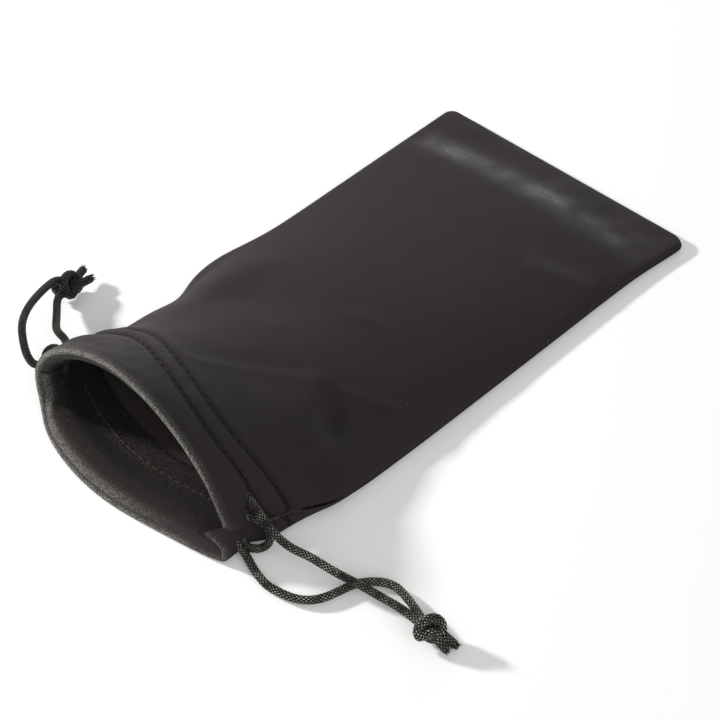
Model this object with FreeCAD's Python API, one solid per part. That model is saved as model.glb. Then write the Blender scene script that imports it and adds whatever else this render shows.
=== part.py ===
"""A soft drawstring pouch for glasses, lying on its back with its mouth held open, in millimetres.

X runs across the pouch, Y from the mouth (-Y) to the closed end (+Y), and Z up from the surface that it
lies on. Two panels of thin cloth are sewn together at the sides and the closed end and turned right side
out. At the mouth each panel is turned in and sewn down with two rows of stitches, and the tunnel between
the fold and the first row carries two cords. One drawstring is knotted outside on each side.

Every cloth surface is a cubic net of control points. A net has one column for each entry of ACROSS, from
the left edge to the right, and one row for each distance from the rim.
"""
import FreeCAD, Part
import math
import os

V = FreeCAD.Vector

# Driving dimensions.
LENGTH = 183.5           # rim of the back panel to the closed end
WIDTH = 89.6             # flat width over the side seams
CLOTH = 0.5              # one layer of cloth
PRESSED = 0.05           # what the pouch's own weight takes off the cloth that it lies on
CORNER_LEFT = 2.5        # rounding of the closed corners in plan
CORNER_RIGHT = 4.5
CROWN_MOUTH_END = 14.5   # height that the body stands above its edge, near the mouth
CROWN_CLOSED_END = 3.0   # and near the closed end
CLOSED_END_RISE = 9.0    # distance in which the body rises from the closed end

MOUTH_HEIGHT = 31.0      # top of the open mouth
MOUTH_SETBACK = 15.7     # how far the top of the mouth stands behind the bottom of it
LIFT_LEFT = 12.0         # how far the corners of the mouth stand off the ground
LIFT_RIGHT = 5.0
NARROW_LEFT = 3.4        # how far the open mouth draws the corners in
NARROW_RIGHT = 5.0
NARROW_REACH = 22.0      # distances from the rim over which the open mouth dies away
NARROW_POWER = 1.1       # and how suddenly it does
LIFT_REACH = 30.0
LIFT_REACH_EDGE = 18.0
LIFT_POWER = 1.25
CROWN_POWER = 2.4        # how square the body is across: 2 is a round arch
NORMAL_STEP = 0.5        # each way along the cloth, where its normals are worked out

ROW_TUNNEL = 15.0        # first row of stitches, from the rim: it closes the tunnel
ROW_EDGE = 21.0          # second row, which holds down the raw edge
RAW_EDGE = 23.5          # end of the cloth that is turned in
LAYER_GAP = 0.2          # between layers that are sewn together
SLIT_SLOPE = 4.0         # length over which the slit at the corner closes

CORD = 2.2               # diameter of the braided cord
CORD_CLEARANCE = 0.35    # each side of a cord inside its tunnel
CORD_END_GAP = 0.8       # between a cord in its tunnel and the stretch that pulls out
ARC_SHARE = 0.45         # how far along the shorter of two runs a bend of the cord reaches

SEAM_ALLOWANCE = 5.0
ALLOWANCE_CLEARANCE = 0.12
ALLOWANCE_INSET = 2.0    # from the outside of the seam to the allowance's root
ALLOWANCE_START = 4.5    # from the hem's raw edge to the allowance's first end
OVERLOCK_THREAD = 0.8
THREAD = 0.4             # sewing thread
STITCH = 2.3
STITCH_PITCH = 3.1
STITCH_LIFT = 0.12       # between the cloth and the thread on it
STITCH_INSIDE_LIFT = 0.3
STITCH_INSIDE_SHIFT = 1.5
HEM_END_BARE = 5.0       # from the hem's end to its first stitch
SEAM_THREAD = 0.3
BARTACK_LENGTH = 3.0

KNOT_LENGTH = 8.0
KNOT_WIDTH = 7.0
KNOT_HEIGHT = 6.2

# Sizes worked out from them.
HALF_WIDTH = WIDTH / 2
BACK_END = LENGTH / 2
HEM = CORD + 2 * CORD_CLEARANCE + 2 * CLOTH
ALLOWANCE = 2 * CLOTH
EDGE_MIDDLE = CLOTH + ALLOWANCE_CLEARANCE + ALLOWANCE / 2
EDGE_TOP = 2 * EDGE_MIDDLE

# Columns of a net, as shares of the half width. The close pair at each end turns the cloth's edge over.
ACROSS = [-1, -0.99, -0.94, -0.81, -0.62, -0.42, -0.21, 0, 0.21, 0.42, 0.62, 0.81, 0.94, 0.99, 1]
LAST = len(ACROSS) - 1

# Where each cord lies in each tunnel: its distance from the rim at the left end and at the right.
LANES = {
    ("front", "left"): (2.6, 3.6),
    ("front", "right"): (8.4, 8.6),
    ("back", "left"): (9.2, 8.5),
    ("back", "right"): (5.2, 3.8),
}
# Places along a tunnel that its cord goes through, as shares of the tunnel's length.
RUN_SHARES = [0.024, 0.065, 0.12, 0.19, 0.27, 0.36, 0.45, 0.55, 0.64, 0.73, 0.81, 0.88, 0.935, 0.976]

# The free cord of each drawstring, from where it leaves the tunnel. Each drawstring comes out of both hems
# on its own side, in two legs that share a knot, and turns from one hem into the other on the other side.
LEG_EXITS = {
    ("front", "left"): [V(-44.9, -77.3, 11.3), V(-41.9, -77.1, 11.2), V(-40.2, -76.6, 12.5)],
    ("back", "left"): [V(-45.4, -67.9, 9.3), V(-42.6, -69.8, 9.1), V(-40.5, -70.6, 8.2)],
    ("front", "right"): [V(33.2, -75.1, 6.9), V(35.9, -74.9, 6.25), V(39.2, -74.2, 5.95)],
    ("back", "right"): [V(42.6, -81.3, 2.2), V(46.2, -81.9, 1.4)],
}
LOOPS = {
    "left": [
        V(33.3, -80.4, 7.05), V(35.9, -80.7, 6.5), V(39.0, -80.6, 6.1), V(42.6, -80.6, 5.7), V(45.6, -80.1, 5.1),
        V(46.7, -78.4, 3.9), V(45.8, -76.8, 2.8), V(43.4, -76.5, 2.5),
    ],
    "right": [V(-40.7, -71.4, 10.8), V(-40.4, -74.0, 9.9)],
}
LEGS = {
    ("left", "outer"): [
        V(-48.7, -76.4, 12.3), V(-53.6, -72.9, 12.9), V(-58.6, -67.6, 12.3), V(-63.1, -61.2, 10.4),
        V(-66.9, -54.8, 7.9), V(-69.8, -49.4, 5.5), V(-68.8, -45.4, 3.7),
    ],
    ("left", "inner"): [
        V(-49.0, -64.7, 9.8), V(-53.3, -61.0, 9.5), V(-57.9, -56.9, 7.8), V(-62.0, -52.7, 5.8),
        V(-65.2, -49.2, 4.3), V(-66.4, -46.2, 3.4),
    ],
    ("right", "upper"): [
        V(43.4, -73.7, 5.5), V(48.5, -73.2, 5.3), V(54.0, -72.1, 5.3), V(59.5, -71.8, 5.2), V(64.5, -71.0, 4.9),
        V(69.0, -69.4, 3.8), V(74.0, -67.8, 2.4), V(79.3, -67.0, 1.8), V(84.0, -68.0, 2.2), V(88.0, -69.3, 2.9),
    ],
    ("right", "lower"): [
        V(50.0, -83.2, 1.2), V(54.3, -83.4, 1.2), V(58.4, -82.3, 1.2), V(61.6, -79.9, 1.2), V(63.6, -76.4, 1.2),
        V(64.6, -72.4, 1.2), V(65.7, -68.4, 1.2), V(68.4, -65.1, 1.2), V(72.2, -63.0, 1.2), V(76.4, -62.7, 1.2),
        V(80.4, -63.8, 1.4), V(84.2, -65.4, 2.0), V(88.0, -66.8, 2.8),
    ],
}
LEG_PANELS = {"outer": "front", "inner": "back", "upper": "front", "lower": "back"}
KNOTS = {"left": (V(-67.3, -43.35, 3.2), 97), "right": (V(91.0, -68.2, 3.2), 4)}
TAILS = {
    "left": [
        [V(-68.2, -41.0, 3.3), V(-69.0, -38.4, 3.7), V(-70.0, -35.6, 3.9)],
        [V(-66.4, -40.6, 2.9), V(-66.4, -37.8, 3.1), V(-65.8, -34.9, 2.9)],
    ],
    "right": [
        [V(93.6, -67.4, 2.8), V(96.4, -66.8, 2.0), V(99.0, -66.4, 1.3)],
        [V(93.4, -69.4, 2.6), V(95.8, -70.3, 1.7), V(98.2, -70.8, 1.3)],
    ],
}

# Rows of a net, by their distance from the rim, and those of the tunnel, as shares of its width.
BODY_ROWS = [LENGTH - CLOTH]
BODY_ROWS += [share * LENGTH for share in (0.984, 0.95, 0.90, 0.83, 0.74, 0.64, 0.54, 0.445, 0.355)]
BODY_ROWS += [share * LENGTH for share in (0.275, 0.21, 0.165)]
TUNNEL_ROWS = [0.26, 0.5, 0.74]

# The rim of each panel, as (share of half width, share of setback, share of mouth height).
FRONT_RIM = [
    (-0.92, 0.82, 0.44), (-0.92, 0.84, 0.50), (-0.89, 0.88, 0.60), (-0.79, 0.93, 0.76), (-0.61, 0.97, 0.92),
    (-0.40, 1.00, 1.01), (-0.19, 1.00, 1.01), (0.03, 0.96, 0.95), (0.25, 0.90, 0.84), (0.44, 0.83, 0.69),
    (0.59, 0.76, 0.55), (0.71, 0.69, 0.41), (0.80, 0.64, 0.33), (0.86, 0.60, 0.28), (0.89, 0.57, 0.24),
]
BACK_RIM = [
    (-0.92, 0.79, 0.40), (-0.93, 0.78, 0.30), (-0.90, 0.74, 0.16), (-0.82, 0.60, 0.04), (-0.69, 0.38, 0.00),
    (-0.49, 0.18, 0.00), (-0.26, 0.04, 0.00), (-0.02, 0.00, 0.00), (0.22, 0.08, 0.00), (0.45, 0.18, 0.00),
    (0.65, 0.27, 0.00), (0.80, 0.34, 0.00), (0.87, 0.38, 0.00), (0.91, 0.41, 0.01), (0.93, 0.42, 0.02),
]
# How far each hem's end stands from the side seam's line at the rim, and what the slit adds by its base,
# both as shares of the tunnel's width.
HEM_END = {
    ("front", -1): (V(0, 0, 0.127), V(0, 0, 0.133)),
    ("front", 1): (V(-0.32, 0, 0.173), V(-0.667, 0, 0.4)),
    ("back", -1): (V(0, 0, -0.127), V(0, 0, -0.08)),
    ("back", 1): (V(0.127, 0, -0.36), V(0, 0, -0.06)),
}
# How much of an edge's shift each column takes, counted from that edge.
EDGE_SHARE = [1.0, 0.9, 0.6, 0.2]


def fade(distance, reach, power):
    """1 at the rim, falling smoothly to 0 well beyond the reach."""
    return math.exp(-((distance / reach) ** power))


def smooth_step(value):
    """0 below 0, 1 above 1, and a smooth S between."""
    value = min(max(value, 0.0), 1.0)
    return value * value * (3 - 2 * value)


def half_width(side, distance):
    """Half of the flat width on one side, less the rounding of the closed corner: a quarter circle."""
    radius = CORNER_LEFT if side < 0 else CORNER_RIGHT
    into_corner = min(max(distance - (LENGTH - radius), 0.0), radius)
    return HALF_WIDTH - radius + math.sqrt(radius ** 2 - into_corner ** 2)


def seam_line(side, distance):
    """The side seam, from the rim's corner (distance 0) to the closed end: it drops and widens."""
    narrow = NARROW_LEFT if side < 0 else NARROW_RIGHT
    lift = LIFT_LEFT if side < 0 else LIFT_RIGHT
    corner = FRONT_RIM[0 if side < 0 else LAST]
    x = side * (half_width(side, distance) - narrow * fade(distance, NARROW_REACH, NARROW_POWER))
    y = along(corner[1], distance)
    return V(x, y, EDGE_MIDDLE + lift * fade(distance, LIFT_REACH_EDGE, LIFT_POWER))


def along(setback_share, distance):
    """Y at a distance from the rim, where the rim stands back by a share of the setback."""
    rim = -BACK_END + setback_share * MOUTH_SETBACK
    return rim + distance / LENGTH * (BACK_END - rim)


def crown(distance):
    """Height of the body's middle above its edge: it falls evenly and drops to nothing at the closed end."""
    even = CROWN_CLOSED_END + (CROWN_MOUTH_END - CROWN_CLOSED_END) * (1 - distance / LENGTH)
    return even * (1 - math.exp(-max(LENGTH - distance, 0.0) / CLOSED_END_RISE))


def net_point(panel, column, distance):
    """A control point of a panel's outer face: the open rim's shape fading into the flat body's."""
    share = ACROSS[column]
    side = -1 if share < 0 else 1
    rim_x, setback, rim_z = (FRONT_RIM if panel == "front" else BACK_RIM)[column]
    reach = LIFT_REACH + (LIFT_REACH_EDGE - LIFT_REACH) * abs(share) ** 3
    lifted = fade(distance, reach, LIFT_POWER)
    narrowed = fade(distance, NARROW_REACH, NARROW_POWER)
    body_z = EDGE_TOP + crown(distance) * (1 - abs(share) ** CROWN_POWER) if panel == "front" else 0.0
    if column in (0, LAST):
        body_z += (EDGE_MIDDLE - body_z) * (1 - slit(distance))
    pressed = PRESSED if panel == "back" else 0.0
    x = narrowed * rim_x * HALF_WIDTH + (1 - narrowed) * share * half_width(side, distance)
    z = lifted * rim_z * MOUTH_HEIGHT + (1 - lifted) * body_z - pressed
    return V(x, along(setback, distance), z)


def slit(distance):
    """1 along the hem's free end, 0 where the side is sewn, and a smooth S across the tunnel's stitches."""
    return 1 - smooth_step((distance - ROW_TUNNEL + SLIT_SLOPE / 2) / SLIT_SLOPE)


def edge_point(panel, side, distance):
    """The panel's edge: on the seam's line, and off it where the slit leaves the hem's end free."""
    at_rim, more = HEM_END[panel, side]
    sewn = V(0, 0, LAYER_GAP / 2 if panel == "front" else -LAYER_GAP / 2)
    share = (at_rim + more * (distance / ROW_TUNNEL)) * fade(distance, LIFT_REACH_EDGE, LIFT_POWER)
    return seam_line(side, distance) + sewn + share * ROW_TUNNEL * slit(distance)


def skin_row(panel, distance):
    """One row of a panel's outer face, its ends drawn onto the edges."""
    row = [net_point(panel, column, distance) for column in range(LAST + 1)]
    for side, columns in ((-1, range(len(EDGE_SHARE))), (1, range(LAST, LAST - len(EDGE_SHARE), -1))):
        edge = 0 if side < 0 else LAST
        shift = edge_point(panel, side, distance) - row[edge]
        shift.y = 0
        for share, column in zip(EDGE_SHARE, columns):
            row[column] = row[column] + shift * share
    return row


def normals(panel, distance):
    """Unit normals of one row of the outer face, pointing out of the pouch."""
    here = skin_row(panel, distance)
    ahead = skin_row(panel, min(distance + NORMAL_STEP, LENGTH))
    behind = skin_row(panel, max(distance - NORMAL_STEP, 0.0))
    outward = []
    for column in range(LAST + 1):
        across = here[min(column + 1, LAST)] - here[max(column - 1, 0)]
        lengthwise = ahead[column] - behind[column]
        normal = across.cross(lengthwise) * (1 if panel == "front" else -1)
        if column in (0, LAST):
            normal.z *= slit(distance)
        outward.append(normal.normalize())
    return outward


def layer_row(panel, distance, depth):
    """A row of points at a depth under a panel's outer face."""
    return [point - normal * depth for point, normal in zip(skin_row(panel, distance), normals(panel, distance))]


def spline_face(rows):
    """A face on a clamped net of control points: cubic, or straight between only two rows."""
    degrees = [min(3, count - 1) for count in (len(rows), len(rows[0]))]
    knots = []
    multiplicities = []
    for count, degree in zip((len(rows), len(rows[0])), degrees):
        spans = count - degree
        knots.append(list(range(spans + 1)))
        multiplicities.append([degree + 1] + [1] * (spans - 1) + [degree + 1])
    surface = Part.BSplineSurface()
    surface.buildFromPolesMultsKnots(rows, *multiplicities, *knots, False, False, *degrees)
    return surface.toShape()


def sheet(outer, inner):
    """A closed solid between two nets of the same size: two faces and the four strips round their edges."""
    faces = [spline_face(outer), spline_face(inner)]
    for end in (0, -1):
        faces.append(spline_face([outer[end], inner[end]]))
        faces.append(spline_face([[row[end] for row in outer], [row[end] for row in inner]]))
    shell = Part.Shell(faces)
    shell.sewShape()
    solid = Part.Solid(shell)
    if solid.Volume < 0:
        solid.reverse()
    return solid


def hem_depths():
    """(distance, depth) down the turned-in layer: open over the tunnel, then sewn flat to its raw edge."""
    sewn = 2 * CLOTH + LAYER_GAP
    open_rows = [(share * ROW_TUNNEL, HEM) for share in TUNNEL_ROWS]
    half_open = [(0.9 * ROW_TUNNEL, (HEM + sewn) / 2)]
    flat_rows = [(s, sewn) for s in (ROW_TUNNEL + 1, (ROW_TUNNEL + ROW_EDGE) / 2 + 0.5, ROW_EDGE, RAW_EDGE)]
    return open_rows + half_open + flat_rows


def panel_rows(panel):
    """Rows of both faces of a panel, from the closed end round the rim's fold to the raw edge inside."""
    turned_in = hem_depths()
    distances = BODY_ROWS + [s for s, _ in reversed(turned_in)]
    level = EDGE_MIDDLE + (LAYER_GAP / 2 if panel == "front" else -LAYER_GAP / 2)
    closed = [V(p.x, p.y, level) for p in skin_row(panel, LENGTH)]
    inset = 1 - CLOTH / HALF_WIDTH
    outer = [closed] + [skin_row(panel, s) for s in distances]
    inner = [[V(p.x * inset, p.y - CLOTH, level) for p in closed]]
    inner += [layer_row(panel, s, CLOTH) for s in distances]
    outer += [skin_row(panel, 0), layer_row(panel, 0, HEM)]
    inner += [layer_row(panel, CLOTH, CLOTH), layer_row(panel, CLOTH, HEM - CLOTH)]
    outer += [layer_row(panel, s, depth) for s, depth in turned_in]
    inner += [layer_row(panel, s, depth - CLOTH) for s, depth in turned_in]
    return outer, inner


def make_panel(panel):
    """One cloth panel. The back one is flat where the pouch rests on it."""
    solid = sheet(*panel_rows(panel))
    if panel == "back":
        ground = Part.makeBox(2 * WIDTH, 2 * LENGTH, HEM, V(-WIDTH, -LENGTH, -HEM))
        solid = solid.cut(ground).Solids[0]
    return solid


def hem_curve(panel, left, right, depth):
    """A line across a hem, at a distance from the rim at each end and at a depth under the outer face."""
    poles = []
    for column, share in enumerate(ACROSS):
        distance = left + (right - left) * (share + 1) / 2
        poles.append(layer_row(panel, distance, depth)[column])
    spans = len(poles) - 3
    curve = Part.BSplineCurve()
    curve.buildFromPolesMultsKnots(poles, [4] + [1] * (spans - 1) + [4], list(range(spans + 1)), False, 3)
    return curve.toShape()


def point_on(edge, length):
    return edge.valueAt(edge.getParameterByLength(length))


def thread_between(start, end, diameter):
    along_thread = end - start
    return Part.makeCylinder(diameter / 2, along_thread.Length, start, along_thread)


def stitches(edge, diameter):
    """Short straight stitches of thread, evenly spaced along an edge."""
    count = int((edge.Length - STITCH) / STITCH_PITCH)
    margin = (edge.Length - (count - 1) * STITCH_PITCH - STITCH) / 2
    starts = [margin + i * STITCH_PITCH for i in range(count)]
    return Part.makeCompound([
        thread_between(point_on(edge, start), point_on(edge, start + STITCH), diameter) for start in starts
    ])


def hem_stitches(panel, row):
    """A row of the hem's stitches: on the outside of the front, and on the inside of the back."""
    distance = ROW_TUNNEL if row == "tunnel" else ROW_EDGE
    if panel == "front":
        depth = -(THREAD / 2 + STITCH_LIFT)
    else:
        distance += STITCH_INSIDE_SHIFT
        depth = 2 * CLOTH + LAYER_GAP + THREAD / 2 + STITCH_INSIDE_LIFT
    line = hem_curve(panel, distance, distance, depth)
    first, last = line.getParameterByLength(HEM_END_BARE), line.getParameterByLength(line.Length - HEM_END_BARE)
    return stitches(line.Curve.toShape(first, last), THREAD)


def beside_seam(seam, position, inset, height):
    """A point inside the pouch: at a place along a seam, inset from its edge, above the back panel's face."""
    if seam == "end":
        return V(position, BACK_END - inset, height)
    side = -1 if seam == "left" else 1
    row = layer_row("back", position, height)
    columns = range(0, 4) if side < 0 else range(LAST, LAST - 4, -1)
    x = abs(skin_row("back", position)[0 if side < 0 else LAST].x) - inset
    nearer = [c for c in columns if abs(row[c].x) > x][-1]
    further = nearer - side
    share = (abs(row[nearer].x) - x) / (abs(row[nearer].x) - abs(row[further].x))
    return row[nearer] + (row[further] - row[nearer]) * share


def seam_stations(seam):
    """Places along a seam: distances from the rim at the sides, and X at the closed end."""
    if seam == "end":
        reach = HALF_WIDTH - CORNER_RIGHT
        return [-reach + 2 * reach * i / 4 for i in range(5)]
    first = RAW_EDGE + ALLOWANCE_START
    last = LENGTH - ALLOWANCE_INSET - 2 * SEAM_ALLOWANCE
    return [first + (last - first) * share for share in (0, 0.08, 0.18, 0.32, 0.5, 0.7, 0.85, 1)]


def seam_strip(seam, inset, width, bottom, thickness):
    """A flat strip beside a seam, inside the pouch."""
    nets = []
    for height in (bottom, bottom + thickness):
        rows = []
        for position in seam_stations(seam):
            rows.append([beside_seam(seam, position, inset + width * i / 2, height) for i in range(3)])
        nets.append(rows)
    return sheet(*nets)


def seam_allowance(seam):
    """The raw edges of both panels, turned to the inside of the pouch."""
    return seam_strip(seam, ALLOWANCE_INSET, SEAM_ALLOWANCE, CLOTH + ALLOWANCE_CLEARANCE, ALLOWANCE)


def overlock_thread(seam):
    """The thread that wraps the allowance's raw edge."""
    inset = ALLOWANCE_INSET + SEAM_ALLOWANCE + ALLOWANCE_CLEARANCE
    bottom = CLOTH + ALLOWANCE_CLEARANCE + (ALLOWANCE - OVERLOCK_THREAD) / 2
    return seam_strip(seam, inset, OVERLOCK_THREAD, bottom, OVERLOCK_THREAD)


def seam_stitches(seam):
    """The stitches that join the panels, at the root of the allowance."""
    inset = ALLOWANCE_INSET - THREAD
    points = []
    for position in seam_stations(seam):
        if seam == "end":
            points.append(V(position, BACK_END - inset, EDGE_MIDDLE))
        else:
            side = -1 if seam == "left" else 1
            points.append(seam_line(side, position) - V(side * inset, 0, 0))
    curve = Part.BSplineCurve()
    curve.interpolate(points)
    return stitches(curve.toShape(), SEAM_THREAD)


def bartack(side):
    """Close stitches over the seam's first end, at the base of the slit."""
    outward = V(side * (OVERLOCK_THREAD / 2 + STITCH_LIFT), 0, 0)
    start = seam_line(side, ROW_TUNNEL + SLIT_SLOPE / 2) + outward
    end = seam_line(side, ROW_TUNNEL + SLIT_SLOPE / 2 + BARTACK_LENGTH) + outward
    return thread_between(start, end, OVERLOCK_THREAD)


def tube(name, points, diameter=CORD):
    """A cord along straight runs joined by tangent arcs, each as large as its two runs allow."""
    edges = []
    radii = []
    start = points[0]
    for previous, corner, following in zip(points, points[1:], points[2:]):
        run_in = corner - previous
        run_out = following - corner
        half_turn = run_in.getAngle(run_out) / 2
        reach = ARC_SHARE * min(run_in.Length, run_out.Length)
        radius = reach / math.tan(half_turn)
        into = V(run_in).normalize()
        out = V(run_out).normalize()
        before = corner - into * reach
        after = corner + out * reach
        middle = corner + (out - into).normalize() * radius * (1 / math.cos(half_turn) - 1)
        edges.append(Part.LineSegment(start, before).toShape())
        edges.append(Part.Arc(before, middle, after).toShape())
        radii.append(radius)
        start = after
    edges.append(Part.LineSegment(start, points[-1]).toShape())
    path = Part.Wire(edges)
    circle = Part.Wire(Part.Circle(points[0], points[1] - points[0], diameter / 2).toShape())
    solid = path.makePipeShell([circle], True, False)
    ideal = math.pi * diameter ** 2 / 4 * path.Length
    print(f"{name}: length {path.Length:.1f}, volume {solid.Volume / ideal:.3f} of section x length, "
          f"radii {' '.join(f'{radius:.1f}' for radius in radii)}")
    return solid


def lane_points(panel, owner):
    """The route of a cord in its tunnel, from left to right."""
    line = hem_curve(panel, *LANES[panel, owner], HEM / 2)
    return [point_on(line, line.Length * share) for share in RUN_SHARES]


def tunnel_run(panel, owner):
    """A cord in its tunnel, and the bends by which it comes out to its leg."""
    leg_exit = LEG_EXITS[panel, owner]
    inside = lane_points(panel, owner)
    route = leg_exit + inside if owner == "left" else inside + leg_exit
    return tube(f"{owner} cord in the {panel} hem", route)


def loop(owner):
    """Where a cord turns from the front hem into the back one, on the side away from its legs."""
    end = -1 if owner == "left" else 0
    route = [lane_points("front", owner)[end]] + LOOPS[owner] + [lane_points("back", owner)[end]]
    return tube(f"{owner} cord's loop", route)


def leg(owner, which):
    """A free leg, from just beyond the cord in the tunnel to the knot."""
    leg_exit = LEG_EXITS[LEG_PANELS[which], owner]
    corner, end = (leg_exit[1], leg_exit[0]) if owner == "left" else (leg_exit[-2], leg_exit[-1])
    start = end + (end - corner).normalize() * CORD_END_GAP
    return tube(f"{owner} cord's {which} leg", [start] + LEGS[owner, which])


def knot(centre, heading):
    """A tight knot: an ellipsoid lying along the cord."""
    ball = Part.makeSphere(1.0)
    stretch = FreeCAD.Matrix()
    stretch.scale(KNOT_LENGTH / 2, KNOT_WIDTH / 2, KNOT_HEIGHT / 2)
    solid = ball.transformGeometry(stretch)
    solid.rotate(V(), V(0, 0, 1), heading)
    solid.translate(centre)
    return solid


def tails(name, ends):
    """The two short ends of a cord beyond its knot."""
    return Part.makeCompound([tube(f"{name} {i + 1}", points) for i, points in enumerate(ends)])


def export(name, shape):
    shape.exportStep(f"parts/{name}.step")


if __name__ == "__main__":
    os.makedirs("parts", exist_ok=True)
    for panel_name in ("front", "back"):
        export(f"{panel_name}_panel", make_panel(panel_name))
        for row_name in ("tunnel", "edge"):
            export(f"{panel_name}_{row_name}_stitches", hem_stitches(panel_name, row_name))
    for seam_name in ("left", "right", "end"):
        export(f"{seam_name}_seam_allowance", seam_allowance(seam_name))
        export(f"{seam_name}_overlock_thread", overlock_thread(seam_name))
        export(f"{seam_name}_seam_stitches", seam_stitches(seam_name))
    export("left_bartack", bartack(-1))
    export("right_bartack", bartack(1))
    for panel_name, owner_name in LANES:
        export(f"{owner_name}_cord_in_{panel_name}_hem", tunnel_run(panel_name, owner_name))
    for owner_name, leg_name in LEGS:
        export(f"{owner_name}_cord_{leg_name}_leg", leg(owner_name, leg_name))
    for owner_name in LOOPS:
        export(f"{owner_name}_cord_loop", loop(owner_name))
        export(f"{owner_name}_cord_knot", knot(*KNOTS[owner_name]))
        export(f"{owner_name}_cord_tails", tails(f"{owner_name} cord's tail", TAILS[owner_name]))
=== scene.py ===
"""A soft drawstring pouch for glasses, lying on its back with its mouth held open.

The shapes are worked out in millimetres and put into the meshes in metres. X runs across the pouch, Y from
the mouth to the closed end, and Z up from the ground. On a panel, "distance" is the distance from the rim
along the cloth and "depth" is how far a layer lies under the panel's outer face.
"""
import math
from functools import partial

import bpy
import numpy as np
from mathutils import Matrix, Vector


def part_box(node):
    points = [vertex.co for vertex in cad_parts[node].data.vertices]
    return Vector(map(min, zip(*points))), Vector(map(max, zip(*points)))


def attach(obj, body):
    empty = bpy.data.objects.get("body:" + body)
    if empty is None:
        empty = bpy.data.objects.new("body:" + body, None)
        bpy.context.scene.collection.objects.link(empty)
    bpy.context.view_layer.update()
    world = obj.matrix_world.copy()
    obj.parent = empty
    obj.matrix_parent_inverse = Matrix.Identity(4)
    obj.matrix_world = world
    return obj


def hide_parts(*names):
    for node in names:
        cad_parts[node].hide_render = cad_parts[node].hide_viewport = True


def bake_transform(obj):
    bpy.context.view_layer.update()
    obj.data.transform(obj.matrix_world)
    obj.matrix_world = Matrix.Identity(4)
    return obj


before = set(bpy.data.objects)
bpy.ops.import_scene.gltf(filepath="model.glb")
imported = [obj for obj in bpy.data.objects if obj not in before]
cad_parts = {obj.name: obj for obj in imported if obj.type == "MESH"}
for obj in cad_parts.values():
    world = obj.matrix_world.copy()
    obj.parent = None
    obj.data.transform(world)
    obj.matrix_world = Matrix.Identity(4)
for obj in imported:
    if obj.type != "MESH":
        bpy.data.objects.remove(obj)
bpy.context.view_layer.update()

MM = 0.001


# ---- Sizes, in millimetres: the first ones are read from the frame ----

def node_box(*nodes):
    """Lowest and highest corners of some CAD nodes together."""
    lows, highs = zip(*(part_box(node) for node in nodes))
    return np.min(lows, axis=0) / MM, np.max(highs, axis=0) / MM


CLOTH_LOW, CLOTH_HIGH = node_box("front_panel", "back_panel")
HALF_WIDTH = (CLOTH_HIGH[0] - CLOTH_LOW[0]) / 2
BACK_END = CLOTH_HIGH[1]
LENGTH = 2 * BACK_END

CLOTH = 0.5
CORNER_LEFT, CORNER_RIGHT = 2.5, 3.6
FLARE, FLARE_REACH = 1.8, 16.0
SWELL, SWELL_PLACE, SWELL_REACH = 2.8, 77.0, 15.5
WAIST, WAIST_PLACE, WAIST_REACH = 2.0, 56.5, 7.5
CROWN_MOUTH_END, CROWN_CLOSED_END = 14.5, 3.0
CLOSED_END_RISE = 3.5
BAND_FALL, BAND_START, BAND_WIDTH = 0.62, 26.0, 17.0
MOUTH_HEIGHT, MOUTH_SETBACK = 31.0, 15.7
LIFT_LEFT, LIFT_RIGHT = 12.0, 5.0
NARROW_LEFT, NARROW_RIGHT, NARROW_REACH = 3.4, 5.0, 22.0
DRAWN_IN, DRAWN_IN_START, DRAWN_IN_SLOPE = 4.6, 36.0, 18.0
DRAWN_UP, DRAWN_UP_START, DRAWN_UP_SLOPE = 1.5, 50.0, 30.0
LIFT_REACH, LIFT_REACH_EDGE = 30.0, 18.0
LIFT_POWER, NARROW_POWER, CROWN_POWER = 1.25, 1.1, 2.4
ROW_TUNNEL, ROW_EDGE, RAW_EDGE = 15.0, 21.0, 23.5
LAYER_GAP = 0.2
NORMAL_STEP = 0.25
STITCH, STITCH_PITCH, THREAD_RADIUS = 2.35, 3.1, 0.21
SLIT_SLOPE = 4.0
CORD = 2.2
HEM = CORD + 0.7 + 2 * CLOTH
FOLD = 2.1
EDGE_MIDDLE = 1.12
EDGE_TOP = 2 * EDGE_MIDDLE
SEWN_DEPTH = 2 * CLOTH + LAYER_GAP
GROUND = 0.02

# Columns of a panel's net, as shares of the half width, and the rim's shape at each of them: its share of
# the half width, of the setback and of the mouth's height.
ACROSS = np.array([-1, -0.99, -0.94, -0.81, -0.62, -0.42, -0.21, 0, 0.21, 0.42, 0.62, 0.81, 0.94, 0.99, 1])
SPANS = len(ACROSS) - 3
FINE = 900   # places across a panel where a line is read from it
FRONT_RIM = np.array([
    (-0.92, 0.82, 0.44), (-0.92, 0.84, 0.50), (-0.89, 0.88, 0.60), (-0.79, 0.93, 0.76), (-0.61, 0.97, 0.92),
    (-0.40, 1.00, 1.01), (-0.19, 1.00, 1.01), (0.03, 0.96, 0.95), (0.25, 0.90, 0.84), (0.44, 0.83, 0.69),
    (0.59, 0.76, 0.55), (0.71, 0.69, 0.41), (0.80, 0.64, 0.33), (0.86, 0.60, 0.28), (0.89, 0.57, 0.24),
])
BACK_RIM = np.array([
    (-0.92, 0.79, 0.40), (-0.93, 0.78, 0.30), (-0.90, 0.74, 0.16), (-0.82, 0.60, 0.04), (-0.69, 0.38, 0.00),
    (-0.49, 0.18, 0.00), (-0.26, 0.04, 0.00), (-0.02, 0.00, 0.00), (0.22, 0.08, 0.00), (0.45, 0.18, 0.00),
    (0.66, 0.27, 0.00), (0.80, 0.37, 0.00), (0.85, 0.39, 0.04), (0.80, 0.39, 0.20), (0.76, 0.37, 0.31),
])
# How far each hem's left end stands from the side seam at the rim, and what is added by the slit's base.
LEFT_END = {"front": ((0, 0, -0.2), (0, 0, 1.0)), "back": ((0, 0, 0.2), (0, 0, -1.0))}
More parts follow.
